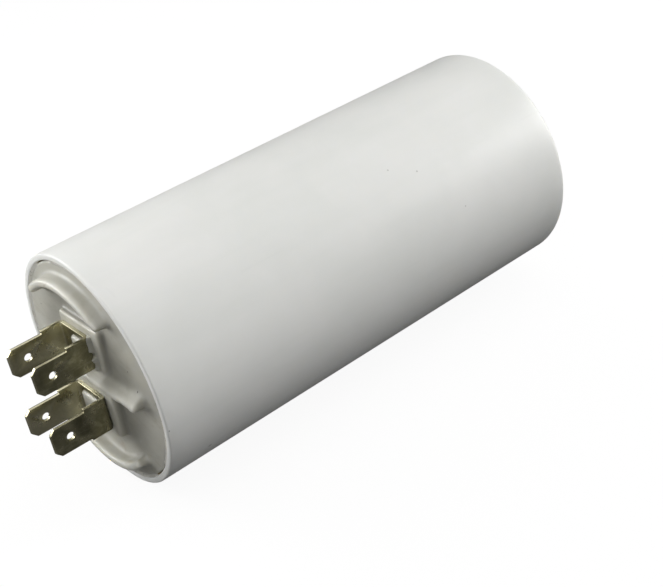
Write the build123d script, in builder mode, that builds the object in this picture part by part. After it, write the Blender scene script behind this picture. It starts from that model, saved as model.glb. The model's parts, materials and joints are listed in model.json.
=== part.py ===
from build123d import *
from math import cos, sin, radians
import os

# Motor capacitor lying on its side. The axis runs along X: the stud leaves the base towards +X,
# and the blade terminals stand out of the lid towards -X. The origin is the centre of the base's
# mounting face, and +Z is up. Sizes are in millimetres and degrees.

# Case
base_diameter = 50.0
mouth_flare = 1.0
case_length = 109.7
case_wall = 1.9
base_thickness = 3.0
base_edge_radius = 1.5
rim_wall = 1.4
rim_outer_radius = 0.3
rim_inner_radius = 0.25
base_recess_depth = 0.8
base_land_width = 5.0
base_ring_width = 4.0
base_recess_fillet = 0.4
inner_corner_radius = 1.0
case_rib_count = 6
case_rib_height = 1.0
case_rib_width = 1.2

# Stud
stud_diameter = 8.0
stud_length = 12.0
stud_chamfer = 1.0
shoulder_diameter = 10.0
shoulder_length = 2.0
head_across_flats = 13.0
head_thickness = 4.0
head_cover = 1.5
head_boss_wall = 3.0

# Lid: levels are heights out of the rim's plane, so they are negative inside the case
lid_roll = 15.1
lid_floor_level = -0.3
lid_thickness = 2.5
lid_edge_gap = 0.3
lid_skirt_depth = 3.6
lid_skirt_wall = 1.6
lid_skirt_clearance = 0.2
seal_level = -0.55
seal_bond_gap = 0.02
arc_wall_inset = 2.6
arc_wall_thickness = 1.8
arc_wall_span = 80.0
wall_crest_level = 2.9
wall_edge_radius = 0.65
wall_foot_radius = 0.9
barrier_end_inset = 1.7
barrier_lower_face = -0.3
barrier_crest_width = 1.3
barrier_slope_width = 1.9
barrier_edge_radius = 0.5
barrier_end_radius = 0.6
barrier_foot_radius = 1.3
pad_left = 6.3
pad_reach = 12.8
upper_pad_near_right = 6.9
upper_pad_far_right = 9.2
lower_pad_near_right = 8.4
lower_pad_far_right = 6.8
pad_edge_radius = 0.4
pad_corner_radius = 0.8

# Terminals
blade_width = 6.3
sheet_thickness = 0.8
blade_pitch = 10.15
terminal_pitch = 13.96
terminal_height = 13.1
bend_inner_radius = 0.4
shoulder_step = 0.7
shoulder_to_tip = 8.0
tip_corner = 1.2
tip_bevel = 0.25
blade_hole_diameter = 1.7
blade_hole_to_tip = 4.0
upper_seat_level = 1.0
lower_seat_level = 1.6
lower_heel_step = 0.4
tail_width = 4.0
tail_depth = 7.2
tail_clearance = 0.1

# Bosses that pass through the straps' webs
boss_width = 4.6
boss_shift = 0.2
boss_right = 3.6
upper_boss_left = 1.0
lower_boss_left = 3.4
boss_corner_radius = 0.8
boss_rise = 0.45
boss_edge_radius = 0.4
boss_clearance = 0.1

# Winding and leads
winding_clearance = 0.1
winding_wrap_thickness = 0.2
winding_lid_gap = 8.0
core_outer_diameter = 9.0
core_bore_diameter = 6.0
spray_thickness = 0.6
spray_edge_margin = 0.5
spacer_height = 8.0
spacer_boss_gap = 2.5
spacer_wall_gap = 0.5
lead_diameter = 1.9
lead_front_reach = 12.0
lead_front_rise = 1.9
lead_rear_reach = 10.0
lead_crossing_gap = 2.3
lead_end_depth = 3.8
lead_bend_radius = 2.0
solder_diameter = 5.0
solder_height = 2.6
solder_dome = 1.55
solder_film = 0.15
solder_overhang = 0.8
tail_joint_margin = 0.5
tail_joint_inset = 0.3
potting_gap = 2.4

# Sizes that follow
base_radius = base_diameter / 2
rim_radius = base_radius + mouth_flare / 2
bore_radius = base_radius - case_wall
bore_mouth_radius = rim_radius - case_wall
mouth_radius = rim_radius - rim_wall
lid_radius = mouth_radius - lid_edge_gap
lid_under_level = lid_floor_level - lid_thickness
skirt_radius = bore_mouth_radius - lid_skirt_clearance
arc_wall_radius = lid_radius - arc_wall_inset
barrier_reach = arc_wall_radius - barrier_end_inset
shoulder_radius = shoulder_diameter / 2
head_depth = shoulder_length + head_thickness
head_boss_depth = head_depth + head_cover
head_boss_radius = head_across_flats / (2 * cos(radians(30))) + head_boss_wall
winding_rear = base_thickness + spacer_height + spray_thickness
front_level = lid_under_level - winding_lid_gap
rear_level = base_thickness + spacer_height - case_length
winding_front = case_length + front_level - spray_thickness
winding_length = winding_front - winding_rear
winding_radius = bore_radius - case_rib_height - winding_clearance - winding_wrap_thickness
base_land_radius = shoulder_radius + base_land_width
base_ring_radius = base_radius - base_ring_width
terminal_offset = terminal_pitch / 2
heel_inset = blade_width / 2 - sheet_thickness / 2
lead_radius = lead_diameter / 2

# The lid's own plane: local x runs along each pair of blades, local y across the pairs,
# local z is the height out of the rim
lid_plane = Plane(
    origin=(-case_length, 0, 0),
    x_dir=(0, -cos(radians(lid_roll)), sin(radians(lid_roll))),
    z_dir=(-1, 0, 0),
)


def profile_plane(across):
    """Plane for a terminal's U profile: local x along the pair, local y the height."""
    origin = lid_plane.from_local_coords(Vector(0, across, 0))
    return Plane(origin=origin, x_dir=lid_plane.x_dir, z_dir=-lid_plane.y_dir)


def blade_plane():
    """Plane of the blades' faces: local x across the pairs, local y the height."""
    return Plane(origin=lid_plane.origin, x_dir=lid_plane.y_dir, z_dir=lid_plane.x_dir)


def ring_edges(part, x, radius):
    """Circular edges at one place along the axis, with one radius."""
    circles = part.edges().filter_by(GeomType.CIRCLE)
    return circles.filter_by(lambda e: abs(e.arc_center.X - x) < 0.01 and abs(e.radius - radius) < 0.01)


def level_edges(part, level):
    """Edges that lie flat at one height above the rim."""
    def at_level(edge):
        heights = [lid_plane.to_local_coords(edge.position_at(t)).Z for t in (0, 0.5, 1)]
        return max(abs(height - level) for height in heights) < 0.01
    return part.edges().filter_by(at_level)


def floor_line(part, across):
    """Straight edge of the lid's floor that runs along the pairs at one distance from the centre."""
    def on_line(edge):
        middle = lid_plane.to_local_coords(edge.position_at(0.5))
        return abs(middle.Y - across) < 0.01 and abs(middle.Z - lid_floor_level) < 0.01
    return part.edges().filter_by(GeomType.LINE).filter_by(on_line)


def pad_corners(part, far):
    """Upright edges at a pad's two corners away from the barrier."""
    def at_corner(edge):
        start = lid_plane.to_local_coords(edge.position_at(0))
        finish = lid_plane.to_local_coords(edge.position_at(1))
        return max(abs(start.Y - far), abs(finish.Y - far)) < 0.01 and abs(start.X - finish.X) < 0.01
    return part.edges().filter_by(GeomType.LINE).filter_by(at_corner)


def pad_rim(part, seat, far):
    """Edges round a pad's top, without the one along the barrier."""
    def on_rim(edge):
        ends = [lid_plane.to_local_coords(edge.position_at(t)).Y for t in (0, 1)]
        return max(abs(across) for across in ends) > abs(far) - 2 * pad_corner_radius
    return level_edges(part, seat).filter_by(on_rim)


def boss_plane(seat, across):
    """Plane at one height over a boss, with its origin at the boss's middle across the pairs."""
    origin = lid_plane.from_local_coords(Vector(0, across + boss_shift, seat))
    return Plane(origin=origin, x_dir=lid_plane.x_dir, z_dir=lid_plane.z_dir)


def end_edges(part, reach):
    """Edges that rise from the lid's floor at one distance along the pairs, on either end."""
    def at_end(edge):
        start = lid_plane.to_local_coords(edge.position_at(0))
        finish = lid_plane.to_local_coords(edge.position_at(1))
        at_reach = max(abs(abs(start.X) - reach), abs(abs(finish.X) - reach)) < 0.01
        return at_reach and abs(start.Z - finish.Z) > sheet_thickness
    return part.edges().filter_by(at_end)


# Case: a moulded cup with a stepped mouth, a boss round the stud's head and ribs along its bore
with BuildPart() as case:
    with BuildSketch(Plane.XY):
        with BuildLine():
            Polyline(
                (0, 0),
                (0, base_land_radius),
                (-base_recess_depth, base_land_radius),
                (-base_recess_depth, base_ring_radius),
                (0, base_ring_radius),
                (0, base_radius),
                (-case_length, rim_radius),
                (-case_length, mouth_radius),
                (-case_length - lid_under_level, mouth_radius),
                (-case_length - lid_under_level, bore_mouth_radius),
                (-base_thickness, bore_radius),
                (-base_thickness, head_boss_radius),
                (-head_boss_depth, head_boss_radius),
                (-head_boss_depth, 0),
                close=True,
            )
        make_face()
    revolve(axis=Axis.X)
    fillet(ring_edges(case, 0, base_radius), radius=base_edge_radius)
    fillet(ring_edges(case, -case_length, rim_radius), radius=rim_outer_radius)
    fillet(ring_edges(case, -case_length, mouth_radius), radius=rim_inner_radius)
    fillet(ring_edges(case, -base_thickness, bore_radius), radius=inner_corner_radius)
    fillet(ring_edges(case, -base_recess_depth, base_land_radius), radius=base_recess_fillet)
    fillet(ring_edges(case, -base_recess_depth, base_ring_radius), radius=base_recess_fillet)
    with BuildSketch(Plane.YZ.offset(-head_depth)):
        RegularPolygon(radius=head_across_flats / 2, side_count=6, major_radius=False)
    extrude(amount=head_thickness, mode=Mode.SUBTRACT)
    with BuildSketch(Plane.YZ.offset(-shoulder_length)):
        Circle(shoulder_radius)
    extrude(amount=shoulder_length, mode=Mode.SUBTRACT)
    with BuildSketch(Plane.YZ.offset(-winding_front)):
        with PolarLocations(bore_radius - case_rib_height, case_rib_count):
            Rectangle(case_rib_height + case_wall / 2, case_rib_width, align=(Align.MIN, Align.CENTER))
    extrude(amount=winding_length)
case.part.label = "case"

# Stud: hexagon head moulded into the base, a flush shoulder and the shank outside
with BuildPart() as stud:
    with BuildSketch(Plane.YZ.offset(-head_depth)):
        RegularPolygon(radius=head_across_flats / 2, side_count=6, major_radius=False)
    extrude(amount=head_thickness)
    with BuildSketch(Plane.YZ.offset(-shoulder_length)):
        Circle(shoulder_radius)
    extrude(amount=shoulder_length)
    with BuildSketch(Plane.YZ):
        Circle(stud_diameter / 2)
    extrude(amount=stud_length)
    chamfer(ring_edges(stud, stud_length, stud_diameter / 2), length=stud_chamfer)
stud.part.label = "stud"


# Lid: a stepped disc with two arc walls, a barrier between the pairs, and a raised pad with a
# boss and a tail slot for each terminal
with BuildPart() as lid:
    with BuildSketch(lid_plane.offset(lid_under_level)):
        Circle(lid_radius)
    extrude(amount=lid_thickness)
    with BuildSketch(lid_plane.offset(lid_under_level - lid_skirt_depth)):
        Circle(skirt_radius)
        Circle(skirt_radius - lid_skirt_wall, mode=Mode.SUBTRACT)
    extrude(amount=lid_skirt_depth)

    # Arc walls above and below
    for middle in (90, -90):
        with BuildSketch(lid_plane.offset(lid_floor_level)):
            with BuildLine():
                start = middle - arc_wall_span / 2
                outer_arc = CenterArc((0, 0), arc_wall_radius, start, arc_wall_span)
                inner_arc = CenterArc((0, 0), arc_wall_radius - arc_wall_thickness, start, arc_wall_span)
                Line(outer_arc @ 0, inner_arc @ 0)
                Line(outer_arc @ 1, inner_arc @ 1)
            make_face()
        extrude(amount=wall_crest_level - lid_floor_level)
    inner_wall_radius = arc_wall_radius - arc_wall_thickness
    fillet(level_edges(lid, wall_crest_level), radius=wall_edge_radius)
    fillet(ring_edges(lid, -case_length - lid_floor_level, arc_wall_radius), radius=wall_foot_radius)
    fillet(ring_edges(lid, -case_length - lid_floor_level, inner_wall_radius), radius=wall_foot_radius)

    # Barrier between the pairs: upright on its lower side, sloped on its upper side
    crest_edge = barrier_lower_face + barrier_crest_width
    slope_foot = crest_edge + barrier_slope_width
    with BuildSketch(blade_plane()):
        with BuildLine():
            Polyline(
                (barrier_lower_face, lid_floor_level),
                (barrier_lower_face, wall_crest_level),
                (crest_edge, wall_crest_level),
                (slope_foot, lid_floor_level),
                close=True,
            )
        make_face()
    extrude(amount=barrier_reach, both=True)
    fillet(end_edges(lid, barrier_reach), radius=barrier_end_radius)
    fillet(level_edges(lid, wall_crest_level), radius=barrier_edge_radius)
    fillet(floor_line(lid, slope_foot), radius=barrier_foot_radius)

    # Pads under the terminals, from the barrier outwards
    for seat, near, near_right, far, far_right in (
        (upper_seat_level, crest_edge, upper_pad_near_right, pad_reach, upper_pad_far_right),
        (lower_seat_level, barrier_lower_face, lower_pad_near_right, -pad_reach, lower_pad_far_right),
    ):
        with BuildSketch(lid_plane.offset(lid_floor_level)):
            with BuildLine():
                Polyline(
                    (-pad_left, near), (near_right, near), (far_right, far), (-pad_left, far), close=True,
                )
            make_face()
        extrude(amount=seat - lid_floor_level)
        fillet(pad_corners(lid, far), radius=pad_corner_radius)
        fillet(pad_rim(lid, seat, far), radius=pad_edge_radius)

    # Bosses and tail slots
    for seat, across, left in (
        (upper_seat_level, terminal_offset, upper_boss_left),
        (lower_seat_level, -terminal_offset, lower_boss_left),
    ):
        with BuildSketch(boss_plane(seat, across)):
            with Locations(((boss_right - left) / 2, 0)):
                RectangleRounded(boss_right + left, boss_width, boss_corner_radius)
        extrude(amount=sheet_thickness + boss_rise)
        fillet(level_edges(lid, seat + sheet_thickness + boss_rise), radius=boss_edge_radius)
        with BuildSketch(lid_plane.offset(lid_under_level)):
            with Locations((0, across - heel_inset)):
                Rectangle(tail_width + 2 * tail_clearance, sheet_thickness + 2 * tail_clearance)
        extrude(amount=seat - lid_under_level, mode=Mode.SUBTRACT)
lid.part.label = "lid"

# Seal bead: the thin line of resin between the lid's edge and the case's mouth
with BuildPart() as seal_bead:
    with BuildSketch(lid_plane.offset(lid_under_level)):
        Circle(mouth_radius - seal_bond_gap)
        Circle(lid_radius, mode=Mode.SUBTRACT)
    extrude(amount=seal_level - lid_under_level)
seal_bead.part.label = "seal_bead"


def make_terminal(seat, across, heel_step, boss_left):
    """Stamped U strap: a web on the pad, two blades bent up from it and a tail through the lid."""
    tip = seat + terminal_height
    web_top = seat + sheet_thickness
    outer = blade_pitch / 2 + sheet_thickness / 2
    inner = blade_pitch / 2 - sheet_thickness / 2
    upper_edge = across + blade_width / 2
    shoulder_level = tip - shoulder_to_tip
    with BuildPart() as strap:
        with BuildSketch(profile_plane(upper_edge + shoulder_step)):
            with BuildLine():
                outside = FilletPolyline(
                    (-outer, tip), (-outer, seat), (outer, seat), (outer, tip),
                    radius=bend_inner_radius + sheet_thickness,
                )
                inside = FilletPolyline(
                    (-inner, tip), (-inner, web_top), (inner, web_top), (inner, tip),
                    radius=bend_inner_radius,
                )
                Line(outside @ 0, inside @ 0)
                Line(outside @ 1, inside @ 1)
            make_face()
        extrude(amount=blade_width + shoulder_step + heel_step)
        with BuildSketch(blade_plane()) as outline:
            with Locations((across, (seat + tip) / 2)):
                Rectangle(blade_width, terminal_height)
            chamfer(outline.vertices().group_by(Axis.Y)[-1], length=tip_corner)
            with Locations((across + (shoulder_step - heel_step) / 2, (seat + shoulder_level) / 2)):
                Rectangle(blade_width + shoulder_step + heel_step, shoulder_level - seat)
        extrude(amount=outer, both=True, mode=Mode.INTERSECT)
        tip_edges = level_edges(strap, tip).filter_by(lambda e: e.length > sheet_thickness * 2)
        chamfer(tip_edges, length=tip_bevel)
        with BuildSketch(blade_plane()):
            with Locations((across, tip - blade_hole_to_tip)):
                Circle(blade_hole_diameter / 2)
        extrude(amount=outer, both=True, mode=Mode.SUBTRACT)
        with BuildSketch(boss_plane(seat, across)):
            with Locations(((boss_right - boss_left) / 2, 0)):
                RectangleRounded(
                    boss_right + boss_left + 2 * boss_clearance, boss_width + 2 * boss_clearance,
                    boss_corner_radius + boss_clearance,
                )
        extrude(amount=sheet_thickness, mode=Mode.SUBTRACT)
        with BuildSketch(lid_plane.offset(-tail_depth)):
            with Locations((0, across - heel_inset)):
                Rectangle(tail_width, sheet_thickness)
        extrude(amount=seat + tail_depth)
    return strap


terminal_upper = make_terminal(upper_seat_level, terminal_offset, 0, upper_boss_left)
terminal_upper.part.label = "terminal_upper"
terminal_lower = make_terminal(lower_seat_level, -terminal_offset, lower_heel_step, lower_boss_left)
terminal_lower.part.label = "terminal_lower"

# Winding: metallised film rolled on a core tube, wrapped, with sprayed metal on both ends
with BuildPart() as core_tube:
    with BuildSketch(Plane.YZ.offset(-winding_front - spray_thickness)):
        Circle(core_outer_diameter / 2)
        Circle(core_bore_diameter / 2, mode=Mode.SUBTRACT)
    extrude(amount=winding_length + 2 * spray_thickness)
core_tube.part.label = "core_tube"

with BuildPart() as film_winding:
    with BuildSketch(Plane.YZ.offset(-winding_front)):
        Circle(winding_radius)
        Circle(core_outer_diameter / 2, mode=Mode.SUBTRACT)
    extrude(amount=winding_length)
film_winding.part.label = "film_winding"

with BuildPart() as winding_wrap:
    with BuildSketch(Plane.YZ.offset(-winding_front)):
        Circle(winding_radius + winding_wrap_thickness)
        Circle(winding_radius, mode=Mode.SUBTRACT)
    extrude(amount=winding_length)
winding_wrap.part.label = "winding_wrap"


def make_end_spray(depth):
    """Layer of sprayed metal on one end of the winding, round the core tube."""
    with BuildPart() as spray:
        with BuildSketch(Plane.YZ.offset(-depth)):
            Circle(winding_radius - spray_edge_margin)
            Circle(core_outer_diameter / 2, mode=Mode.SUBTRACT)
        extrude(amount=spray_thickness)
    return spray


front_end_spray = make_end_spray(winding_front + spray_thickness)
front_end_spray.part.label = "front_end_spray"
rear_end_spray = make_end_spray(winding_rear)
rear_end_spray.part.label = "rear_end_spray"

# Spacer: a moulded ring that carries the winding clear of the stud's boss
with BuildPart() as base_spacer:
    with BuildSketch(Plane.YZ.offset(-base_thickness - spacer_height)):
        Circle(bore_radius - spacer_wall_gap - inner_corner_radius)
        Circle(head_boss_radius + spacer_boss_gap, mode=Mode.SUBTRACT)
    extrude(amount=spacer_height)
base_spacer.part.label = "base_spacer"


def make_lead(points):
    """Insulated lead along straight runs joined by tangent arcs, given in the lid's plane."""
    route = [lid_plane.from_local_coords(Vector(*point)) for point in points]
    with BuildPart() as lead:
        with BuildLine() as path:
            FilletPolyline(*route, radius=lead_bend_radius)
        with BuildSketch(Plane(origin=path.line @ 0, z_dir=path.line % 0)):
            Circle(lead_radius)
        sweep()
    return lead


tail_face = sheet_thickness / 2 + solder_film + lead_radius
front_lead_level = front_level + solder_film + lead_radius
upper_tail = terminal_offset - heel_inset + tail_face
lead_front = make_lead([
    (-lead_front_reach, upper_tail + lead_front_rise, front_lead_level),
    (0, upper_tail, front_lead_level),
    (0, upper_tail, -lead_end_depth),
])
lead_front.part.label = "lead_front"

rear_lead_level = rear_level - solder_film - lead_radius
crossing_level = front_level + lead_crossing_gap
lower_tail = -terminal_offset - heel_inset + tail_face
lead_rear = make_lead([
    (0, lead_rear_reach, rear_lead_level),
    (0, 0, rear_lead_level),
    (0, 0, crossing_level),
    (0, lower_tail, crossing_level),
    (0, lower_tail, -lead_end_depth),
])
lead_rear.part.label = "lead_rear"


def make_solder(place, level, outward, lead):
    """Domed solder joint that holds a lead to the sprayed metal."""
    with BuildPart() as joint:
        with BuildSketch(lid_plane.offset(level)):
            with Locations(place):
                Circle(solder_diameter / 2)
        extrude(amount=outward * solder_height)
        fillet(level_edges(joint, level + outward * solder_height), radius=solder_dome)
        add(lead.part, mode=Mode.SUBTRACT)
    return joint


solder_setback = solder_diameter / 2 - solder_overhang
front_solder = make_solder(
    (-lead_front_reach + solder_setback, upper_tail + lead_front_rise), front_level, 1, lead_front
)
front_solder.part.label = "front_solder"
rear_solder = make_solder((0, lead_rear_reach - solder_setback), rear_level, -1, lead_rear)
rear_solder.part.label = "rear_solder"


def make_tail_joint(across, lead):
    """Soldered joint between a lead's end and the tail beside it."""
    reach = solder_film + lead_diameter + tail_joint_margin
    level = -tail_depth + tail_joint_inset
    with BuildPart() as joint:
        with BuildSketch(lid_plane.offset(level)):
            with Locations((0, across - heel_inset + sheet_thickness / 2 + reach / 2)):
                Rectangle(lead_diameter + 2 * tail_joint_margin, reach)
        extrude(amount=-lead_end_depth - level)
        add(lead.part, mode=Mode.SUBTRACT)
    return joint


tail_joint_front = make_tail_joint(terminal_offset, lead_front)
tail_joint_front.part.label = "tail_joint_front"
tail_joint_rear = make_tail_joint(-terminal_offset, lead_rear)
tail_joint_rear.part.label = "tail_joint_rear"

# Potting: resin that fills the case round everything up to a gap below the lid
with BuildPart() as potting_resin:
    with BuildSketch(lid_plane.offset(lid_under_level - potting_gap)):
        Circle(bore_mouth_radius + case_wall / 2)
    extrude(amount=-(case_length + lid_under_level - potting_gap - base_thickness))
    for held in (
        case, stud, lid, base_spacer, core_tube, film_winding, winding_wrap,
        front_end_spray, rear_end_spray, lead_front, lead_rear, front_solder, rear_solder,
        tail_joint_front, tail_joint_rear, terminal_upper, terminal_lower,
    ):
        add(held.part, mode=Mode.SUBTRACT)
potting_resin.part.label = "potting_resin"

pieces = (
    case, stud, lid, seal_bead, terminal_upper, terminal_lower, core_tube, film_winding, winding_wrap,
    front_end_spray, rear_end_spray, base_spacer, lead_front, lead_rear, front_solder, rear_solder,
    tail_joint_front, tail_joint_rear, potting_resin,
)
os.makedirs("parts", exist_ok=True)
for piece in pieces:
    export_step(piece.part, f"parts/{piece.part.label}.step")
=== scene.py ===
import json
from math import atan2, cos, degrees, exp, hypot, pi, radians, sin, sqrt

import bmesh
import bpy
from mathutils import Matrix, Vector, noise


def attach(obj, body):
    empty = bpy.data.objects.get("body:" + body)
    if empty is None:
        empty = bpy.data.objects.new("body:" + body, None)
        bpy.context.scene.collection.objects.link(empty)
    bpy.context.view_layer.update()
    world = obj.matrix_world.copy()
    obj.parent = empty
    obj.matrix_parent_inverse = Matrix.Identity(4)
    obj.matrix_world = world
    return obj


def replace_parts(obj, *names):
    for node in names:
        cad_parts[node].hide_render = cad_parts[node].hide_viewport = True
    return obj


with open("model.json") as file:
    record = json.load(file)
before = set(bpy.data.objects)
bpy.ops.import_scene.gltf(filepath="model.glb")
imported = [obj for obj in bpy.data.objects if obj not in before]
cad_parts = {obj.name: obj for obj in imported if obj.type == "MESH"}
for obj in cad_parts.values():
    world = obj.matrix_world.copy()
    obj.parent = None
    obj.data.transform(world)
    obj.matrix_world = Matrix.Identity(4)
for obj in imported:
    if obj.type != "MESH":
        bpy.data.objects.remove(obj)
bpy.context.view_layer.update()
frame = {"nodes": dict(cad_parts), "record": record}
nodes = frame["nodes"]

# Sizes in metres, as in the CAD
case_length = 0.1097
mouth_radius = 0.0255
base_radius = 0.025
rim_inner_radius = 0.0241
lid_roll = radians(15.1)
blade_half_pitch = 0.005075
sheet_thickness = 0.0008
bend_radius = 0.0012
seat_height = 0.001
stud_radius = 0.004
stud_length = 0.012
thread_pitch = 0.00125

# The lid's own directions: along each pair of blades, and across the pairs
along_pair = Vector((0, -cos(lid_roll), sin(lid_roll)))
across_pairs = Vector((0, sin(lid_roll), cos(lid_roll)))


def lid_point(along, across, height):
    """A place over the lid: along a pair, across the pairs and out of the rim's plane."""
    return Vector((-case_length - height, 0, 0)) + along_pair * along + across_pairs * across


# Camera at the photograph's place

def place_camera():
    azimuth, elevation, roll = radians(-130.363), radians(42.520), radians(-0.311)
    target = Vector((0.05 - case_length, -0.013413, 0))
    back = Vector((cos(elevation) * cos(azimuth), cos(elevation) * sin(azimuth), sin(elevation)))
    right = (-back).cross(Vector((0, 0, 1))).normalized()
    up = right.cross(-back)
    rolled_right = right * cos(roll) + up * sin(roll)
    rolled_up = up * cos(roll) - right * sin(roll)
    turn = Matrix((rolled_right, rolled_up, back)).transposed().to_4x4()
    turn.translation = target + back * 0.27041
    camera = bpy.data.objects.new("camera", bpy.data.cameras.new("camera"))
    camera.matrix_world = turn
    camera.data.sensor_width = 36
    camera.data.lens = 36 * 1289.4 / 663
    camera.data.clip_start = 0.01
    bpy.context.scene.collection.objects.link(camera)
    bpy.context.scene.camera = camera


place_camera()
bpy.context.scene.view_settings.view_transform = "Standard"


# Helpers for node trees

class Nodes:
    """Short calls for building one node tree."""

    def __init__(self, tree):
        self.tree = tree

    def add(self, kind, values=None, links=None, **settings):
        node = self.tree.nodes.new(kind)
        for name, value in settings.items():
            setattr(node, name, value)
        for name, value in (values or {}).items():
            node.inputs[name].default_value = value
        for name, source in (links or {}).items():
            self.tree.links.new(source, node.inputs[name])
        return node

    def noise(self, place, scale, detail=3.0, rough=0.5, distort=0.0):
        values = {"Scale": scale, "Detail": detail, "Roughness": rough, "Distortion": distort}
        return self.add("ShaderNodeTexNoise", values, {"Vector": place}).outputs["Fac"]

    def spread(self, source, low, high, to_low=0.0, to_high=1.0, smooth=True):
        kind = "SMOOTHSTEP" if smooth else "LINEAR"
        values = {"From Min": low, "From Max": high, "To Min": to_low, "To Max": to_high}
        return self.add(
            "ShaderNodeMapRange", values, {"Value": source}, interpolation_type=kind
        ).outputs["Result"]

    def maths(self, operation, first, second=None):
        node = self.add("ShaderNodeMath", operation=operation)
        for socket, value in zip(node.inputs, (first, second)):
            if value is None:
                continue
            if isinstance(value, (int, float)):
                socket.default_value = value
            else:
                self.tree.links.new(value, socket)
        return node.outputs[0]

    def blend(self, factor, first, second):
        node = self.add("ShaderNodeMix", data_type="RGBA")
        for index, value in ((0, factor), (6, first), (7, second)):
            if isinstance(value, (int, float, tuple)):
                node.inputs[index].default_value = value if index == 0 else (*value, 1)
            else:
                self.tree.links.new(value, node.inputs[index])
        return node.outputs[2]

    def tint(self, tone, colour, mask, share=1.0):
        """The tone with a share of a colour laid over it where the mask is 1."""
        if share != 1.0:
            mask = self.maths("MULTIPLY", mask, share)
        return self.blend(mask, tone, colour)

    def bump(self, height, strength, distance):
        return self.add(
            "ShaderNodeBump", {"Strength": strength, "Distance": distance}, {"Height": height}
        ).outputs["Normal"]

    def stretch(self, place, scale=(1, 1, 1), turn=(0, 0, 0)):
        return self.add(
            "ShaderNodeMapping", {"Scale": scale, "Rotation": turn}, {"Vector": place}
        ).outputs["Vector"]

    def dot(self, vector, direction):
        node = self.add("ShaderNodeVectorMath", links={0: vector}, operation="DOT_PRODUCT")
        node.inputs[1].default_value = direction
        return node.outputs["Value"]

    def off_axis(self, place):
        """The place along the axis, the place flattened onto the lid, and the radius."""
        parts = self.add("ShaderNodeSeparateXYZ", links={0: place}).outputs
        flat = self.add("ShaderNodeCombineXYZ", links={"Y": parts["Y"], "Z": parts["Z"]}).outputs[0]
        length = self.add("ShaderNodeVectorMath", links={0: flat}, operation="LENGTH")
        return parts["X"], flat, length.outputs["Value"]

    def near(self, place, points, reach):
        """1 within a distance of any of a few points, with an uneven edge."""
        ragged = self.maths("MULTIPLY", self.noise(place, 3000.0, 2.0), reach)
        found = None
        for point in points:
            gap = self.add("ShaderNodeVectorMath", links={0: place}, operation="DISTANCE")
            gap.inputs[1].default_value = point
            edge = self.maths("ADD", gap.outputs["Value"], ragged)
            inside = self.spread(edge, 0.9 * reach, 1.8 * reach, 1.0, 0.0)
            found = inside if found is None else self.maths("MAXIMUM", found, inside)
        return found


def new_group(name, takes, gives):
    tree = bpy.data.node_groups.new(name, "ShaderNodeTree")
    for label, kind, value in takes:
        socket = tree.interface.new_socket(label, in_out="INPUT", socket_type=kind)
        if value is not None:
            socket.default_value = value
    for label, kind in gives:
        tree.interface.new_socket(label, in_out="OUTPUT", socket_type=kind)
    return tree, Nodes(tree), tree.nodes.new("NodeGroupInput"), tree.nodes.new("NodeGroupOutput")


def use_group(kit, tree, values=None, links=None):
    return kit.add("ShaderNodeGroup", values, links, node_tree=tree)


def new_material(name, uniform):
    """A material with its Principled shader, whose plain values are set on the shader itself."""
    material = bpy.data.materials.new(name)
    material.use_nodes = True
    kit = Nodes(material.node_tree)
    shader = material.node_tree.nodes["Principled BSDF"]
    for label, value in uniform.items():
        shader.inputs[label].default_value = value
    place = kit.add("ShaderNodeTexCoord").outputs["Object"]
    return material, kit, shader, place


def feed(kit, shader, **sources):
    for label, source in sources.items():
        kit.tree.links.new(source, shader.inputs[label.replace("_", " ")])


# Shared effects

def build_specks():
    """Sparse round specks of two sizes: a mask that is 1 on a speck."""
    tree, kit, takes, gives = new_group(
        "specks",
        [("Place", "NodeSocketVector", None), ("Cells", "NodeSocketFloat", 300.0),
         ("Share", "NodeSocketFloat", 0.1), ("Size", "NodeSocketFloat", 0.1)],
        [("Mask", "NodeSocketFloat")],
    )
    cells = kit.add(
        "ShaderNodeTexVoronoi", {"Randomness": 1.0},
        {"Vector": takes.outputs["Place"], "Scale": takes.outputs["Cells"]},
    )
    tone = kit.add("ShaderNodeSeparateColor", links={"Color": cells.outputs["Color"]})
    chosen = kit.maths("LESS_THAN", tone.outputs[0], takes.outputs["Share"])
    reach = kit.maths("MULTIPLY", takes.outputs["Size"], kit.maths("ADD", tone.outputs[1], 0.4))
    ragged = kit.noise(takes.outputs["Place"], 3000.0, 2.0)
    edge = kit.maths("ADD", cells.outputs["Distance"], kit.maths("MULTIPLY", ragged, 0.06))
    inside = kit.spread(kit.maths("DIVIDE", edge, reach), 0.8, 1.25, 1.0, 0.0)
    kit.tree.links.new(kit.maths("MULTIPLY", chosen, inside), gives.inputs["Mask"])
    return tree


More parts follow.
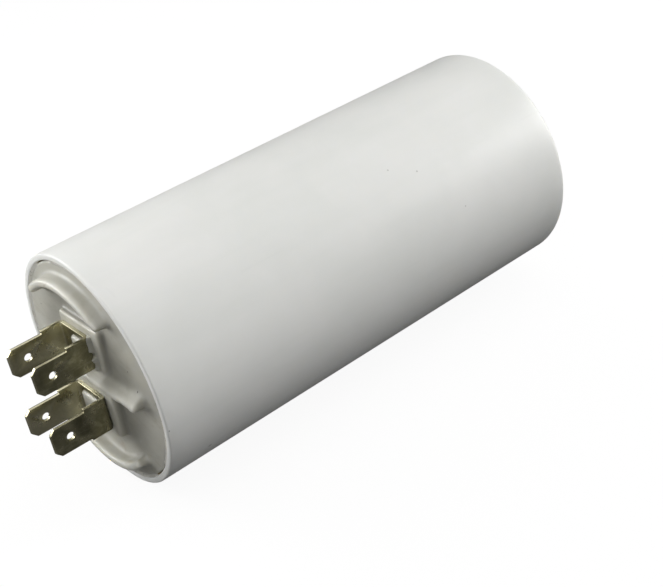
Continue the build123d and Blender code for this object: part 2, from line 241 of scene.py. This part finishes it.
def build_moulding():
    """Moulded plastic's faint cloudiness, orange peel and hairline scratches."""
    tree, kit, takes, gives = new_group(
        "moulding",
        [("Place", "NodeSocketVector", None), ("Grain", "NodeSocketFloat", 1.0)],
        [("Cloud", "NodeSocketFloat"), ("Scratch", "NodeSocketFloat"), ("Normal", "NodeSocketVector")],
    )
    place = takes.outputs["Place"]
    cloud = kit.noise(place, 55.0, 4.0, 0.55, 0.3)
    peel = kit.noise(place, 900.0, 2.0, 0.5)
    fine = kit.noise(place, 5200.0, 2.0, 0.6)
    long_way = kit.stretch(place, (18.0, 900.0, 900.0), (0.12, 0.05, 0.0))
    cross_way = kit.stretch(place, (700.0, 60.0, 60.0), (0.3, 0.4, 0.9))
    lines = kit.maths(
        "MAXIMUM", kit.spread(kit.noise(long_way, 1.0, 2.0), 0.70, 0.74),
        kit.spread(kit.noise(cross_way, 1.0, 2.0), 0.71, 0.75),
    )
    patchy = kit.spread(kit.noise(place, 95.0, 2.0), 0.5, 0.62)
    scratch = kit.maths("MULTIPLY", lines, patchy)
    height = kit.maths("ADD", kit.maths("MULTIPLY", peel, 0.7), kit.maths("MULTIPLY", fine, 0.3))
    height = kit.maths("MULTIPLY", height, takes.outputs["Grain"])
    height = kit.maths("SUBTRACT", height, kit.maths("MULTIPLY", scratch, 0.08))
    kit.tree.links.new(cloud, gives.inputs["Cloud"])
    kit.tree.links.new(scratch, gives.inputs["Scratch"])
    kit.tree.links.new(kit.bump(height, 0.22, 0.00004), gives.inputs["Normal"])
    return tree


specks = build_specks()
moulding = build_moulding()


# Materials

def make_case_plastic():
    """White moulded plastic with faint streaks, dust and a few dark flecks."""
    material, kit, shader, place = new_material("case_plastic", {
        "IOR": 1.48, "Subsurface Weight": 0.25, "Subsurface Scale": 0.0012,
        "Subsurface Radius": (1.0, 0.95, 0.85), "Specular IOR Level": 0.42,
    })
    surface = use_group(kit, moulding, {"Grain": 1.0}, {"Place": place})
    cloud = kit.spread(surface.outputs["Cloud"], 0.25, 0.75, smooth=False)
    tone = kit.blend(cloud, (0.775, 0.785, 0.755), (0.83, 0.83, 0.805))
    streak = kit.noise(kit.stretch(place, (26.0, 240.0, 240.0)), 1.0, 3.0)
    tone = kit.tint(tone, (0.74, 0.755, 0.72), kit.spread(streak, 0.45, 0.75, 0.0, 0.22))
    dust = use_group(kit, specks, {"Cells": 210.0, "Share": 0.035, "Size": 0.085}, {"Place": place})
    grime = use_group(kit, specks, {"Cells": 75.0, "Share": 0.055, "Size": 0.05}, {"Place": place})
    tone = kit.tint(tone, (0.34, 0.31, 0.25), dust.outputs["Mask"], 0.45)
    tone = kit.tint(tone, (0.14, 0.13, 0.11), grime.outputs["Mask"], 0.75)
    tone = kit.tint(tone, (0.66, 0.66, 0.63), surface.outputs["Scratch"], 0.08)
    flecks = kit.near(place, (
        Vector((-0.0425, -0.01128, 0.02259)), Vector((-0.03677, -0.01397, 0.02103)),
        Vector((-0.02953, -0.0218, 0.01274)), Vector((-0.1092, -0.0252, 0.00343)),
    ), 0.0002)
    tone = kit.tint(tone, (0.2, 0.19, 0.17), flecks, 0.6)
    rough = kit.maths("ADD", kit.spread(surface.outputs["Cloud"], 0.3, 0.7, 0.34, 0.44),
                      kit.maths("MULTIPLY", surface.outputs["Scratch"], 0.05))
    feed(kit, shader, Base_Color=tone, Roughness=rough, Normal=surface.outputs["Normal"])
    return material


def make_lid_plastic(name, dark, light):
    """Milky plastic: painted shade darkening the low floor towards the middle, painted highlight making the
    wall tops lighter, a little stained.
    """
    material, kit, shader, place = new_material(name, {
        "IOR": 1.5, "Subsurface Weight": 0.7, "Subsurface Scale": 0.0022,
        "Subsurface Radius": (1.0, 0.93, 0.78), "Specular IOR Level": 0.45,
    })
    surface = use_group(kit, moulding, {"Grain": 1.4}, {"Place": place})
    cloud = kit.spread(surface.outputs["Cloud"], 0.3, 0.7)
    tone = kit.blend(cloud, dark, light)
    flow = kit.noise(kit.stretch(place, (60.0, 110.0, 300.0), (0.26, 0.0, 0.0)), 1.0, 4.0, 0.6, 0.8)
    tone = kit.tint(tone, (0.36, 0.35, 0.28), kit.spread(flow, 0.5, 0.72, 0.0, 0.45))
    along_axis, flat, radius = kit.off_axis(place)
    # Painted shade: the low floor towards the middle is darkened where the walls and blades shadow it
    inner = kit.spread(radius, 0.0135, 0.0215, 0.6, 0.0)
    low = kit.spread(along_axis, -case_length - 0.0011, -case_length - 0.0001)
    tone = kit.tint(tone, (0.2, 0.193, 0.165), kit.maths("MULTIPLY", inner, low))
    # Painted highlight: the tops of the walls and barrier are made lighter where they catch the light
    painted_crest_highlight = kit.spread(along_axis, -case_length - 0.0026, -case_length - 0.0014, 0.6, 0.0)
    tone = kit.tint(tone, (0.68, 0.675, 0.615), painted_crest_highlight)
    stain = kit.noise(place, 210.0, 4.0, 0.65, 0.6)
    tone = kit.tint(tone, (0.3, 0.23, 0.14), kit.spread(stain, 0.62, 0.76, 0.0, 0.4))
    dust = use_group(kit, specks, {"Cells": 330.0, "Share": 0.07, "Size": 0.11}, {"Place": place})
    tone = kit.tint(tone, (0.12, 0.1, 0.08), dust.outputs["Mask"], 0.7)
    spots = [along_pair * along + across_pairs * across for along, across in (
        (0.01517, 0.00598), (0.01796, 0.00283), (0.01548, -0.00155), (-0.0175, 0.0092))]
    tone = kit.tint(tone, (0.06, 0.05, 0.045), kit.near(flat, spots, 0.00018))
    rough = kit.spread(flow, 0.3, 0.7, 0.3, 0.46)
    feed(kit, shader, Base_Color=tone, Roughness=rough, Normal=surface.outputs["Normal"])
    return material


def make_sealing_resin():
    """Cured resin: milky where it lies thin, yellow along the lid's right-hand side."""
    material, kit, shader, place = new_material("sealing_resin", {
        "IOR": 1.54, "Subsurface Weight": 0.3, "Subsurface Scale": 0.001,
        "Subsurface Radius": (1.0, 0.85, 0.55),
    })
    along_axis, _, radius = kit.off_axis(place)
    right_hand = along_pair * cos(radians(30)) + across_pairs * sin(radians(30))
    sector = kit.spread(kit.dot(place, right_hand), 0.012, 0.02)
    flow = kit.noise(place, 260.0, 4.0, 0.65, 0.5)
    outer = kit.spread(radius, 0.02355, 0.02375)
    line = kit.maths("MULTIPLY", outer, kit.spread(flow, 0.38, 0.55, 0.2, 1.0))
    tone = kit.blend(kit.spread(flow, 0.35, 0.62), (0.52, 0.51, 0.46), (0.6, 0.59, 0.54))
    tone = kit.tint(tone, (0.34, 0.26, 0.08), kit.maths("MULTIPLY", sector, line))
    sunk = kit.spread(along_axis, -case_length + 0.00035, -case_length + 0.0006)
    tone = kit.tint(tone, (0.16, 0.12, 0.05), sunk)
    rough = kit.spread(kit.noise(place, 900.0), 0.3, 0.7, 0.25, 0.45)
    dimple = kit.bump(kit.noise(place, 1400.0, 3.0), 0.3, 0.00006)
    feed(kit, shader, Base_Color=tone, Roughness=rough, Normal=dimple)
    return material


def make_terminal_metal():
    """Tarnished plated brass: bright sheared edges, left-hand blades paler as painted light, right-hand
    blades darkened in patches as painted shade, dull smudges.
    """
    material, kit, shader, place = new_material("terminal_metal", {})
    facing = kit.add("ShaderNodeNewGeometry").outputs["True Normal"]
    sideways = kit.maths("ABSOLUTE", kit.dot(facing, across_pairs))
    endways = kit.maths("ABSOLUTE", kit.dot(facing, (1, 0, 0)))
    high = kit.maths("LESS_THAN", kit.dot(place, (1, 0, 0)), -case_length - 0.004)
    on_tip = kit.maths("MULTIPLY", kit.maths("GREATER_THAN", endways, 0.5), high)
    on_side = kit.maths("GREATER_THAN", sideways, 0.5)
    sheared = kit.maths("MAXIMUM", on_tip, on_side)
    mottle = kit.noise(place, 420.0, 5.0, 0.65, 0.4)
    worn = kit.noise(kit.stretch(place, (160.0, 1500.0, 1500.0)), 1.0, 3.0, 0.6)
    face = kit.blend(kit.spread(mottle, 0.35, 0.65), (0.29, 0.275, 0.165), (0.52, 0.49, 0.32))
    face = kit.tint(face, (0.62, 0.59, 0.42), kit.spread(worn, 0.55, 0.75, 0.0, 0.5))
    bright = kit.blend(kit.spread(mottle, 0.3, 0.7), (0.6, 0.56, 0.36), (0.82, 0.78, 0.55))
    tone = kit.blend(kit.maths("MULTIPLY", sheared, 0.85), face, bright)
    # Painted light: the left-hand blades are made paler, standing in for the lit faces they reflect
    left = kit.maths("MULTIPLY", kit.spread(kit.dot(place, along_pair), -0.003, 0.003, 1.0, 0.0), 0.6)
    tone = kit.tint(tone, (0.74, 0.7, 0.5), left)
    # Painted shade: the right-hand blades are darkened in broad patches, standing in for the dark
    # surroundings they reflect
    broad = kit.spread(kit.noise(place, 130.0, 1.0, 0.4, 0.3), 0.35, 0.65, 0.3)
    shade = kit.maths("MULTIPLY", kit.maths("SUBTRACT", 1.0, left), broad)
    tone = kit.tint(tone, (0.13, 0.12, 0.07), shade, 0.6)
    outer_face = blade_half_pitch + sheet_thickness / 2
    smudge = kit.near(place, (
        lid_point(outer_face, -0.0074, 0.0076), lid_point(outer_face, -0.0054, 0.0082),
    ), 0.0017)
    tone = kit.tint(tone, (0.08, 0.075, 0.045), smudge, 0.55)
    dirt = kit.noise(place, 900.0, 3.0, 0.7)
    tone = kit.tint(tone, (0.16, 0.145, 0.09), kit.spread(dirt, 0.6, 0.85, 0.0, 0.25))
    rough = kit.spread(mottle, 0.3, 0.7, 0.38, 0.25)
    rough = kit.maths("SUBTRACT", rough, kit.maths("MULTIPLY", sheared, 0.08))
    metal = kit.spread(dirt, 0.6, 0.85, 1.0, 0.92)
    grain = kit.noise(place, 2600.0, 3.0, 0.6)
    relief = kit.maths("ADD", kit.maths("MULTIPLY", grain, 0.5), kit.maths("MULTIPLY", worn, 0.5))
    feed(kit, shader, Base_Color=tone, Roughness=rough, Metallic=metal,
         Normal=kit.bump(relief, 0.15, 0.00003))
    return material


def make_stud_steel():
    """Zinc-plated steel with a dull haze and small stains."""
    material, kit, shader, place = new_material("stud_steel", {"Metallic": 1.0})
    haze = kit.noise(place, 380.0, 4.0, 0.6)
    tone = kit.blend(kit.spread(haze, 0.3, 0.7), (0.5, 0.51, 0.5), (0.68, 0.69, 0.69))
    stain = kit.noise(place, 900.0, 3.0, 0.7)
    tone = kit.tint(tone, (0.3, 0.29, 0.26), kit.spread(stain, 0.6, 0.75, 0.0, 0.5))
    rough = kit.spread(haze, 0.3, 0.7, 0.28, 0.44)
    feed(kit, shader, Base_Color=tone, Roughness=rough,
         Normal=kit.bump(kit.noise(place, 4200.0, 3.0), 0.25, 0.00003))
    return material


def make_plain(name, dark, light, rough_low, rough_high, scale, uniform, relief=0.0001):
    """A finish for a piece inside the case: two tones, uneven gloss and a fine relief."""
    material, kit, shader, place = new_material(name, uniform)
    broad = kit.noise(place, scale, 4.0, 0.6)
    fine = kit.noise(place, scale * 9, 3.0, 0.6)
    tone = kit.blend(kit.spread(broad, 0.3, 0.7), dark, light)
    feed(kit, shader, Base_Color=tone, Roughness=kit.spread(fine, 0.3, 0.7, rough_low, rough_high),
         Normal=kit.bump(fine, 0.4, relief))
    return material


def make_winding_film():
    """Rolled film: fine rings on its ends and faint lines along its side."""
    material, kit, shader, place = new_material("winding_film", {"Metallic": 0.6})
    turn_pitch = 0.00025
    radius = kit.off_axis(place)[2]
    rings = kit.maths("SINE", kit.maths("MULTIPLY", radius, 2 * pi / turn_pitch))
    haze = kit.noise(place, 300.0, 4.0)
    tone = kit.blend(kit.spread(haze, 0.3, 0.7), (0.45, 0.46, 0.47), (0.66, 0.67, 0.68))
    tone = kit.tint(tone, (0.3, 0.3, 0.31), kit.spread(rings, -1.0, 1.0, 0.0, 0.3))
    feed(kit, shader, Base_Color=tone, Roughness=kit.spread(haze, 0.3, 0.7, 0.22, 0.4),
         Normal=kit.bump(rings, 0.2, 0.00003))
    return material


materials = {
    "case_plastic": make_case_plastic(),
    "lid_plastic": make_lid_plastic("lid_plastic", (0.44, 0.434, 0.381), (0.508, 0.501, 0.447)),
    "sealing_resin": make_sealing_resin(),
    "terminal_metal": make_terminal_metal(),
    "stud_steel": make_stud_steel(),
    "winding_film": make_winding_film(),
    "core_plastic": make_plain(
        "core_plastic", (0.66, 0.66, 0.62), (0.8, 0.8, 0.77), 0.35, 0.5, 120.0, {"IOR": 1.5}),
    "wrap_film": make_plain(
        "wrap_film", (0.72, 0.73, 0.7), (0.84, 0.84, 0.82), 0.15, 0.3, 90.0, {"IOR": 1.6}),
    "sprayed_zinc": make_plain(
        "sprayed_zinc", (0.32, 0.33, 0.34), (0.56, 0.57, 0.58), 0.5, 0.7, 500.0, {"Metallic": 0.9}, 0.0003),
    "lead_insulation": make_plain(
        "lead_insulation", (0.03, 0.032, 0.035), (0.05, 0.05, 0.055), 0.35, 0.5, 250.0, {"IOR": 1.5}),
    "solder": make_plain(
        "solder", (0.5, 0.51, 0.52), (0.74, 0.75, 0.75), 0.18, 0.34, 350.0, {"Metallic": 1.0}),
    "potting": make_plain(
        "potting", (0.36, 0.33, 0.24), (0.5, 0.47, 0.36), 0.3, 0.5, 140.0, {"IOR": 1.52}),
}


# Helpers for pieces

def finish_piece(bm, name, slot, recalculate=True, smooth_angle=35, material=None):
    """Turns a bmesh into a piece that rides on the part."""
    bmesh.ops.remove_doubles(bm, verts=bm.verts, dist=1e-7)
    if recalculate:
        bmesh.ops.recalc_face_normals(bm, faces=bm.faces)
    mesh = bpy.data.meshes.new(name)
    bm.to_mesh(mesh)
    bm.free()
    mesh.shade_smooth()
    if smooth_angle:
        mesh.set_sharp_from_angle(angle=radians(smooth_angle))
    mesh.materials.append(material or materials[slot])
    piece = bpy.data.objects.new(name, mesh)
    bpy.context.scene.collection.objects.link(piece)
    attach(piece, "root")
    return piece


def turned(profile, steps):
    """Closed profile of (place along the axis, radius) turned round the case's axis."""
    bm = bmesh.new()
    corners = [bm.verts.new((x, 0, r)) for x, r in profile]
    for first, second in zip(corners, corners[1:] + corners[:1]):
        bm.edges.new((first, second))
    bmesh.ops.spin(
        bm, geom=bm.verts[:] + bm.edges[:], cent=(0, 0, 0), axis=(1, 0, 0), dvec=(0, 0, 0),
        angle=2 * pi, steps=steps, use_merge=True, use_duplicate=False,
    )
    return bm


def rings(bm, x, radius):
    """Edges of the ring at one place along the axis, with one radius."""
    def on_ring(v):
        return abs(v.co.x - x) < 1e-6 and abs(hypot(v.co.y, v.co.z) - radius) < 1e-5
    return [e for e in bm.edges if on_ring(e.verts[0]) and on_ring(e.verts[1])]


def soften(bm, edges, width, segments):
    bmesh.ops.bevel(
        bm, geom=edges, affect="EDGES", offset=width, offset_type="OFFSET", segments=segments,
        profile=0.5, material=-1, clamp_overlap=True,
    )


# Case: the moulded cup

def make_case():
    rim = -case_length
    recess_depth = 0.0008
    recess_radii = (0.010, 0.021)
    inner, outer = recess_radii
    profile = [
        (0.0, 0.0052), (0.0, inner), (-recess_depth, inner), (-recess_depth, outer), (0.0, outer),
        (0.0, base_radius), (-0.004, 0.025018), (rim + 0.004, 0.025482), (rim, mouth_radius),
        (rim, rim_inner_radius), (rim + 0.0028, rim_inner_radius), (rim + 0.0028, 0.0236),
        (-0.003, 0.0231), (-0.003, 0.01051), (-0.0075, 0.01051), (-0.0075, 0.0052),
    ]
    bm = turned(profile, 224)
    soften(bm, rings(bm, 0.0, base_radius), 0.0013, 8)
    soften(bm, rings(bm, rim, mouth_radius), 0.0004, 5)
    soften(bm, rings(bm, rim, rim_inner_radius), 0.0003, 4)
    for radius in recess_radii:
        soften(bm, rings(bm, 0.0, radius), 0.00025, 3)
        soften(bm, rings(bm, -recess_depth, radius), 0.0004, 4)
    return finish_piece(bm, "case_shell", "case_plastic", smooth_angle=40)


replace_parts(make_case(), "case")


# Stud: rolled thread with its run-out and a plain collar flush with the base

def make_stud_core():
    bm = turned([
        (-0.006, 0.0), (-0.006, 0.0063), (-0.002, 0.0063), (-0.002, 0.0052), (-0.0001, 0.0052),
        (0.0, 0.0051), (0.0, 0.0039), (0.0008, 0.00332), (0.0116, 0.0031), (0.0119, 0.0026),
        (stud_length, 0.0),
    ], 96)
    return finish_piece(bm, "stud_core", "stud_steel", smooth_angle=30)


def make_stud_thread():
    """One rolled ridge that climbs round the core."""
    root, crest = stud_radius - 0.00072, stud_radius - 0.00003
    half_foot, half_crest = thread_pitch * 0.44, thread_pitch * 0.07
    bm = bmesh.new()
    section = [
        (-half_foot, root - 0.00015), (-half_foot, root), (-half_crest, crest), (half_crest, crest),
        (half_foot, root), (half_foot, root - 0.00015),
    ]
    start = 0.0013
    corners = [bm.verts.new((start + x, 0, r)) for x, r in section]
    face = bm.faces.new(corners)
    turns, steps = 7.6, 64
    bmesh.ops.spin(
        bm, geom=[face], cent=(0, 0, 0), axis=(1, 0, 0), dvec=(thread_pitch / steps, 0, 0),
        angle=2 * pi * turns, steps=int(turns * steps), use_merge=False, use_duplicate=False,
    )
    return finish_piece(bm, "stud_thread", "stud_steel", smooth_angle=25)


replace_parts(make_stud_core(), "stud")
make_stud_thread()


# Terminals: the stamped straps with softened sheared edges

def make_strap(name):
    bm = bmesh.new()
    bm.from_mesh(nodes[name].data)
    bmesh.ops.remove_doubles(bm, verts=bm.verts, dist=2e-6)
    bmesh.ops.dissolve_limit(
        bm, angle_limit=radians(1.5), verts=bm.verts, edges=bm.edges, use_dissolve_boundaries=False,
    )
    sharp = [e for e in bm.edges if e.is_manifold and e.calc_face_angle(0) > radians(40)]
    soften(bm, sharp, 0.00007, 2)
    return finish_piece(bm, name + "_strap", "terminal_metal", recalculate=False, smooth_angle=40)


for terminal in ("terminal_upper", "terminal_lower"):
    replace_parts(make_strap(terminal), terminal)


# Lid: the moulding with its edges and hollows flowed soft

def flow_soft(bm, vertices, passes, sideways=True):
    """Evens out the vertices; without sideways they move only along the case's axis."""
    for _ in range(passes):
        bmesh.ops.smooth_vert(
            bm, verts=vertices, factor=0.5, use_axis_x=True, use_axis_y=sideways, use_axis_z=sideways,
        )


def make_lid():
    bm = bmesh.new()
    bm.from_mesh(nodes["lid"].data)
    bmesh.ops.remove_doubles(bm, verts=bm.verts, dist=1e-6)
    mesh = bpy.data.meshes.new("lid_copy")
    bm.to_mesh(mesh)
    bm.free()
    copy = bpy.data.objects.new("lid_copy", mesh)
    bpy.context.scene.collection.objects.link(copy)
    remesh = copy.modifiers.new("remesh", "REMESH")
    remesh.mode = "VOXEL"
    remesh.voxel_size = 0.0003
    graph = bpy.context.evaluated_depsgraph_get()
    dense = bpy.data.meshes.new_from_object(copy.evaluated_get(graph))
    bpy.data.objects.remove(copy)
    bm = bmesh.new()
    bm.from_mesh(dense)
    back_limit = -case_length + 0.0012
    front = [v for v in bm.verts if v.co.x < back_limit and hypot(v.co.y, v.co.z) < 0.0233]
    flow_soft(bm, front, 5)

    def on_barrier_slope(place):
        return place.dot(along_pair) > 0.0088 and 0.0012 < place.dot(across_pairs) < 0.0066

    flow_soft(bm, [v for v in front if on_barrier_slope(v.co)], 40, sideways=False)
    barrier_end = lid_point(0.0158, 0.0008, 0.001)
    wall_ends = [lid_point(0.013, across, 0.001) for across in (0.0156, -0.0156)]
    for end in (barrier_end, *wall_ends):
        flow_soft(bm, [v for v in front if (v.co - end).length < 0.0028], 14)
    return finish_piece(bm, "lid_moulding", "lid_plastic", recalculate=False, smooth_angle=0)


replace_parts(make_lid(), "lid")


# Seal: resin that fills the joint nearly flush, with two places where it has sunk

def make_seal():
    depths_and_radii = [
        (0.0014, 0.0234), (0.0014, 0.0243), (0.0003, 0.0243), (0.00008, 0.0242), (0.00016, 0.02403),
        (0.00023, 0.02383), (0.00028, 0.02362), (0.00032, 0.0234),
    ]
    sunk_places = [(113, 7.5), (-46, 8)]
    bm = turned([(depth - case_length, radius) for depth, radius in depths_and_radii], 288)
    for v in bm.verts:
        if v.co.x > -case_length + 0.0011:
            continue
        angle = degrees(atan2(v.co.dot(across_pairs), v.co.dot(along_pair)))
        sunk = sum(exp(-((angle - centre) / reach) ** 4) for centre, reach in sunk_places)
        ripple = noise.noise(v.co * 450) * 0.00004 + noise.noise(v.co * 1500) * 0.00002
        v.co.x += 0.0008 * sunk + ripple
    return finish_piece(bm, "seal_line", "sealing_resin", smooth_angle=0)


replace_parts(make_seal(), "seal_bead")


# Flash: plastic that has crept over the bend of the upper strap's right-hand blade

def make_flash():
    bend_centre = blade_half_pitch + sheet_thickness / 2 - bend_radius
    # The top edge as (place across the pairs, height), in millimetres
    crest = [
        (3.0, 1.5), (3.3, 1.8), (4.0, 1.62), (4.7, 1.5), (5.3, 1.8), (5.85, 2.02), (6.15, 1.6), (6.35, 1.1),
        (6.8, 1.03), (7.15, 1.1), (7.4, 1.65), (7.8, 2.02), (8.6, 1.86), (9.6, 1.9), (10.5, 1.84),
        (10.9, 1.5),
    ]
    start, end = crest[0][0], crest[-1][0]

    def top(across):
        for (w0, h0), (w1, h1) in zip(crest, crest[1:]):
            if across <= w1:
                t = (across - w0) / (w1 - w0)
                return (h0 + (h1 - h0) * t * t * (3 - 2 * t)) / 1000
        return crest[-1][1] / 1000

    def section(across):
        height = top(across)
        rise = height - seat_height
        foot = seat_height - 0.0002
        on_metal = bend_centre + sqrt(bend_radius ** 2 - (seat_height + bend_radius - height) ** 2)
        return [lid_point(p, across / 1000, h) for p, h in (
            (0.0044, foot), (0.0061, foot), (0.0060, seat_height + 0.08 * rise),
            (0.00578, seat_height + 0.35 * rise), (0.00566, seat_height + 0.8 * rise),
            (on_metal + 0.00008, height), (on_metal - 0.00006, height - 0.00002),
            (0.0047, seat_height + 0.2 * rise),
        )]

    steps = 64
    bm = bmesh.new()
    places = section(start)
    face = bm.faces.new([bm.verts.new(place) for place in places])
    for step in range(1, steps + 1):
        extruded = bmesh.ops.extrude_face_region(bm, geom=[face])["geom"]
        face = next(item for item in extruded if isinstance(item, bmesh.types.BMFace))
        following = section(start + (end - start) * step / steps)
        for v in face.verts:
            nearest = min(range(len(places)), key=lambda k: (places[k] - v.co).length)
            v.co = following[nearest]
        places = following
    # Painted light, partly real colour: the flash gets much lighter tones than the lid plastic, for its
    # thin yellowish plastic and to stand in for light the lamps hardly give its faces
    painted_light_flash_finish = make_lid_plastic("flash_plastic_painted_light", (0.76, 0.73, 0.55), (0.85, 0.82, 0.64))
    return finish_piece(bm, "plastic_flash", "lid_plastic", smooth_angle=50, material=painted_light_flash_finish)


make_flash()


# Carried-over pieces take their finishes

node_slots = {entry["node"]: entry["material_slot"] for entry in frame["record"]["subparts"]}
for name, node in nodes.items():
    node.data.materials.clear()
    node.data.materials.append(materials[node_slots[name]])
    node.data.shade_smooth()
    node.data.set_sharp_from_angle(angle=radians(30))


# Floor, backdrop and lights

def make_floor():
    """Paper that shows white and keeps the shadow, and hardly lights the object."""
    bm = bmesh.new()
    bmesh.ops.create_grid(bm, x_segments=1, y_segments=1, size=3.0)
    bmesh.ops.translate(bm, verts=bm.verts, vec=(0, 0, -mouth_radius))
    mesh = bpy.data.meshes.new("floor")
    bm.to_mesh(mesh)
    bm.free()
    material = bpy.data.materials.new("floor_paper")
    material.use_nodes = True
    kit = Nodes(material.node_tree)
    shader = material.node_tree.nodes["Principled BSDF"]
    shader.inputs["Roughness"].default_value = 0.9
    shader.inputs["Specular IOR Level"].default_value = 0.0
    glow = kit.add("ShaderNodeEmission", {"Color": (1, 1, 1, 1), "Strength": 1.02})
    path = kit.add("ShaderNodeLightPath")
    paper = kit.blend(path.outputs["Is Camera Ray"], (0.04, 0.04, 0.04), (0.9, 0.9, 0.9))
    kit.tree.links.new(paper, shader.inputs["Base Color"])
    seen = kit.maths("MAXIMUM", path.outputs["Is Camera Ray"], path.outputs["Is Transmission Ray"])
    seen = kit.maths("MAXIMUM", seen, kit.maths("MULTIPLY", path.outputs["Is Glossy Ray"], 0.1))
    mix = kit.add(
        "ShaderNodeMixShader",
        links={0: kit.maths("MULTIPLY", seen, 0.9), 1: shader.outputs[0], 2: glow.outputs[0]},
    )
    kit.tree.links.new(mix.outputs[0], material.node_tree.nodes["Material Output"].inputs["Surface"])
    mesh.materials.append(material)
    floor = bpy.data.objects.new("floor", mesh)
    bpy.context.scene.collection.objects.link(floor)


def make_world():
    world = bpy.data.worlds.new("studio")
    bpy.context.scene.world = world
    world.use_nodes = True
    kit = Nodes(world.node_tree)
    background = world.node_tree.nodes["Background"]
    path = kit.add("ShaderNodeLightPath")
    seen = kit.maths("MAXIMUM", path.outputs["Is Camera Ray"], path.outputs["Is Transmission Ray"])
    background.inputs["Color"].default_value = (1, 1, 1, 1)
    strength = kit.spread(seen, 0.0, 1.0, 0.175, 1.0, smooth=False)
    kit.tree.links.new(strength, background.inputs["Strength"])


def make_lamp(name, place, aim, size, power):
    lamp = bpy.data.lights.new(name, "AREA")
    lamp.shape = "RECTANGLE"
    lamp.size, lamp.size_y = size
    lamp.energy = power
    holder = bpy.data.objects.new(name, lamp)
    holder.location = place
    holder.rotation_euler = (Vector(aim) - Vector(place)).to_track_quat("-Z", "Y").to_euler()
    bpy.context.scene.collection.objects.link(holder)


body, case_front, lid = (-0.02, 0, 0), (-0.08, 0, 0), (-0.11, 0, 0)
# Name, place, aim, size and power in watts
lamps = [
    ("overhead_softbox", (0.15, 0, 0.6), body, (0.4, 0.5), 0.72),
    ("base_softbox", (0.45, -0.2, 0.25), body, (0.3, 0.3), 2.9),
    ("body_fill", (0.32, -0.32, 0.22), body, (0.25, 0.25), 0.02),
    ("rear_softbox", (-0.1553, 0.5176, 0.3), lid, (0.5, 0.5), 0.66),
    ("front_softbox", (-0.45, -0.1, 0.5), case_front, (0.4, 0.4), 0.7),
    ("lid_key", (-0.2141, 0.0874, 0.0634), lid, (0.09, 0.09), 0.09),
    ("lid_side", (-0.2066, 0.1673, 0.0518), lid, (0.12, 0.12), 0.08),
    ("lid_top", (-0.115, 0.1, 0.17), lid, (0.1, 0.1), 0.023),
    ("lid_fill", (-0.35, -0.14, 0.07), lid, (0.2, 0.2), 0.11),
    ("rim_light", (-0.18, 0.13, 0.005), lid, (0.05, 0.05), 0.067),
]

make_floor()
make_world()
for lamp in lamps:
    make_lamp(*lamp)

bpy.context.view_layer.update()
